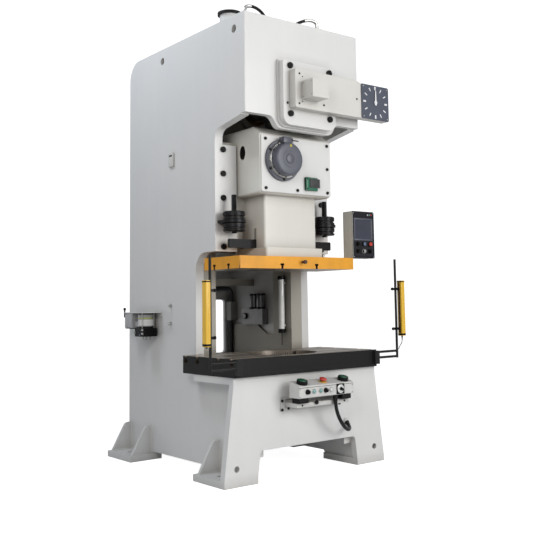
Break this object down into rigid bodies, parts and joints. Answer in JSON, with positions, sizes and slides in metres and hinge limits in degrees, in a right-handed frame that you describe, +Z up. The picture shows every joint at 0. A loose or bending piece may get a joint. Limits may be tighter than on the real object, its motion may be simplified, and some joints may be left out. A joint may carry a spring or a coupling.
{
  "type": "mechanical stamping press",
  "caption": "Open-front stamping press with a geared crank drive, adjustable slide, T-slotted bolster, two-hand control box and light curtains.",
  "frame": {"origin": "on the floor, in the middle of the four anchor holes", "axes": "+X to the right seen from the front, +Y to the back, +Z up"},
  "size_m": [1.757, 1.874, 3.296],
  "materials": {
    "frame_paint": "frame paint",
    "case_paint": "case paint",
    "dial_face": "dial face",
    "bolster_steel": "bolster steel",
    "ground_steel": "ground steel",
    "cast_iron_guide": "cast iron guide",
    "black_steel": "black steel",
    "bronze": "bronze",
    "motor_paint": "motor paint",
    "belt_rubber": "belt rubber",
    "black_paint": "black paint",
    "lube_plastic": "lube plastic",
    "air_metal": "air metal",
    "box_plastic": "box plastic",
    "lamp_plastic": "lamp plastic",
    "vent_paint": "vent paint",
    "cable_rubber": "cable rubber",
    "grey_cable": "grey cable",
    "forged_steel": "forged steel",
    "gear_iron": "gear iron",
    "cast_rod": "cast rod",
    "pointer_white": "pointer white",
    "yellow_paint": "yellow paint",
    "counter_green": "counter green",
    "bar_steel": "bar steel",
    "button_green": "button green",
    "button_red": "button red",
    "knob_black": "knob black",
    "curtain_yellow": "curtain yellow",
    "arm_steel": "arm steel",
    "panel_paint": "panel paint"
  },
  "bodies": {
    "frame": {"side_plate_left": "frame_paint", "side_plate_right": "frame_paint", "crown_front_plate": "frame_paint", "crown_top_plate": "frame_paint", "inner_plates": "frame_paint", "rear_plate": "frame_paint", "bed_front_plate": "frame_paint", "bed_top_plate": "frame_paint", "feet": "frame_paint", "bolster": "bolster_steel", "gib_plates": "ground_steel", "guide_rails": "cast_iron_guide", "frame_bolts": "black_steel", "crank_housing": "frame_paint", "shaft_bushes": "bronze", "indicator_case": "case_paint", "dial": "dial_face", "encoder_cover": "case_paint", "main_motor": "motor_paint", "drive_belts": "belt_rubber", "control_box": "case_paint", "curtain_poles": "black_paint", "lubricator": "lube_plastic", "air_unit": "air_metal", "junction_box": "box_plastic", "work_lamp": "lamp_plastic", "vent_stack": "vent_paint", "control_cable": "cable_rubber", "roof_hose": "cable_rubber"},
    "crankshaft": {"crankshaft": "forged_steel", "main_gear": "gear_iron"},
    "connecting_rod": {"connecting_rod": "cast_rod", "rod_cap": "cast_rod"},
    "pinion_shaft": {"pinion_shaft": "forged_steel"},
    "flywheel": {"flywheel": "gear_iron"},
    "motor_pulley": {"motor_pulley": "gear_iron"},
    "dial_pointer": {"dial_pointer": "pointer_white"},
    "plunger": {"plunger": "ground_steel"},
    "slide": {"slide_body": "frame_paint", "slide_cover": "frame_paint", "slide_plate": "yellow_paint", "slide_bolts": "black_steel", "adjust_motor": "case_paint", "height_counter": "counter_green"},
    "worm_wheel": {"worm_wheel": "bronze"},
    "worm_shaft": {"worm_shaft": "forged_steel"},
    "brake_lever": {"brake_lever": "black_steel"},
    "knockout_bar": {"knockout_bar": "bar_steel"},
    "stop_rod_left": {"stop_rod_left": "forged_steel"},
    "stop_rod_right": {"stop_rod_right": "forged_steel"},
    "palm_button_left": {"palm_button_left": "button_green"},
    "palm_button_right": {"palm_button_right": "button_green"},
    "e_stop_button": {"e_stop_button": "button_red"},
    "mode_selector": {"mode_selector": "knob_black"},
    "light_curtain_left": {"light_curtain_left": "curtain_yellow"},
    "light_curtain_right": {"light_curtain_right": "curtain_yellow", "curtain_cable": "grey_cable"},
    "panel_arm": {"panel_arm": "arm_steel"},
    "panel_box": {"panel_box": "panel_paint"},
    "lube_lever": {"lube_lever": "black_steel"}
  },
  "joints": [
    {"name": "slide_travel", "type": "slide", "parent": "frame", "child": "plunger", "axis": [0, 0, 1], "range_m": [-0.16, 0]},
    {"name": "crank_turn", "type": "hinge", "parent": "frame", "child": "crankshaft", "pos_m": [0, -0.517, 2.617], "axis": [0, 1, 0], "range_deg": [0, 180]},
    {"name": "rod_swing", "type": "hinge", "parent": "crankshaft", "child": "connecting_rod", "pos_m": [0, -0.517, 2.697], "axis": [0, 1, 0], "range_deg": [-180, 0]},
    {"name": "pinion_turn", "type": "hinge", "parent": "frame", "child": "pinion_shaft", "pos_m": [0, -0.517, 2.137], "axis": [0, 1, 0], "range_deg": [-780, 0]},
    {"name": "flywheel_spin", "type": "hinge", "parent": "frame", "child": "flywheel", "pos_m": [0, 0.258, 2.137], "axis": [0, 1, 0], "continuous": true},
    {"name": "motor_turn", "type": "hinge", "parent": "frame", "child": "motor_pulley", "pos_m": [0, 0.258, 2.85], "axis": [0, 1, 0], "continuous": true},
    {"name": "pointer_turn", "type": "hinge", "parent": "frame", "child": "dial_pointer", "pos_m": [0.5655, -0.95, 2.61], "axis": [0, 1, 0], "range_deg": [0, 180]},
    {"name": "die_height_adjust", "type": "slide", "parent": "plunger", "child": "slide", "axis": [0, 0, 1], "range_m": [-0.1, 0]},
    {"name": "wheel_turn", "type": "hinge", "parent": "slide", "child": "worm_wheel", "pos_m": [0, -0.517, 2.147], "axis": [0, 0, 1], "range_deg": [0, 3000]},
    {"name": "worm_turn", "type": "hinge", "parent": "slide", "child": "worm_shaft", "pos_m": [-0.135, -0.517, 2.147], "axis": [0, 1, 0], "range_deg": [0, 126000]},
    {"name": "brake_release", "type": "hinge", "parent": "slide", "child": "brake_lever", "pos_m": [-0.081, -0.767, 2.28952], "axis": [0, 0, -1], "range_deg": [0, 25], "stiffness_Nm_per_rad": 1, "springref_deg": -5.73},
    {"name": "knockout_lift", "type": "slide", "parent": "slide", "child": "knockout_bar", "axis": [0, 0, 1], "range_m": [0, 0.03]},
    {"name": "stop_screw_left", "type": "slide", "parent": "frame", "child": "stop_rod_left", "axis": [0, 0, 1], "range_m": [-0.005, 0.03]},
    {"name": "stop_screw_right", "type": "slide", "parent": "frame", "child": "stop_rod_right", "axis": [0, 0, 1], "range_m": [-0.005, 0.03]},
    {"name": "palm_press_left", "type": "slide", "parent": "frame", "child": "palm_button_left", "axis": [0, 0.2747, -0.9615], "range_m": [0, 0.005], "stiffness_N_per_m": 1000, "springref_m": -0.005},
    {"name": "palm_press_right", "type": "slide", "parent": "frame", "child": "palm_button_right", "axis": [0, 0.2747, -0.9615], "range_m": [0, 0.005], "stiffness_N_per_m": 1000, "springref_m": -0.005},
    {"name": "e_stop_press", "type": "slide", "parent": "frame", "child": "e_stop_button", "axis": [0, 0.2747, -0.9615], "range_m": [0, 0.005]},
    {"name": "mode_select", "type": "hinge", "parent": "frame", "child": "mode_selector", "pos_m": [-0.153, -0.99, 0.571], "axis": [0, 1, 0], "range_deg": [-45, 45]},
    {"name": "curtain_height_left", "type": "slide", "parent": "frame", "child": "light_curtain_left", "axis": [0, 0, 1], "range_m": [-0.08, 0.15]},
    {"name": "curtain_height_right", "type": "slide", "parent": "frame", "child": "light_curtain_right", "axis": [0, 0, 1], "range_m": [-0.08, 0.15]},
    {"name": "panel_swing", "type": "hinge", "parent": "frame", "child": "panel_arm", "pos_m": [0.552, -0.342, 1.6], "axis": [0, 0, 1], "range_deg": [-20, 80]},
    {"name": "panel_turn", "type": "hinge", "parent": "panel_arm", "child": "panel_box", "pos_m": [0.69, -0.49, 1.486], "axis": [0, 0, 1], "range_deg": [-60, 60]},
    {"name": "lube_pump", "type": "hinge", "parent": "frame", "child": "lube_lever", "pos_m": [-0.584, 0.688, 1.067], "axis": [1, 0, 0], "range_deg": [-20, 20]}
  ],
  "couplings": [
    {"joint": "crank_turn", "follows": "slide_travel", "rad_per_m": -19.635},
    {"joint": "rod_swing", "follows": "slide_travel", "rad_per_m": 19.635},
    {"joint": "pinion_turn", "follows": "slide_travel", "rad_per_m": 85.085},
    {"joint": "pointer_turn", "follows": "slide_travel", "rad_per_m": -19.635},
    {"joint": "motor_turn", "follows": "flywheel_spin", "ratio": 4.526},
    {"joint": "wheel_turn", "follows": "die_height_adjust", "rad_per_m": -523.6},
    {"joint": "worm_turn", "follows": "die_height_adjust", "rad_per_m": -21991}
  ]
}
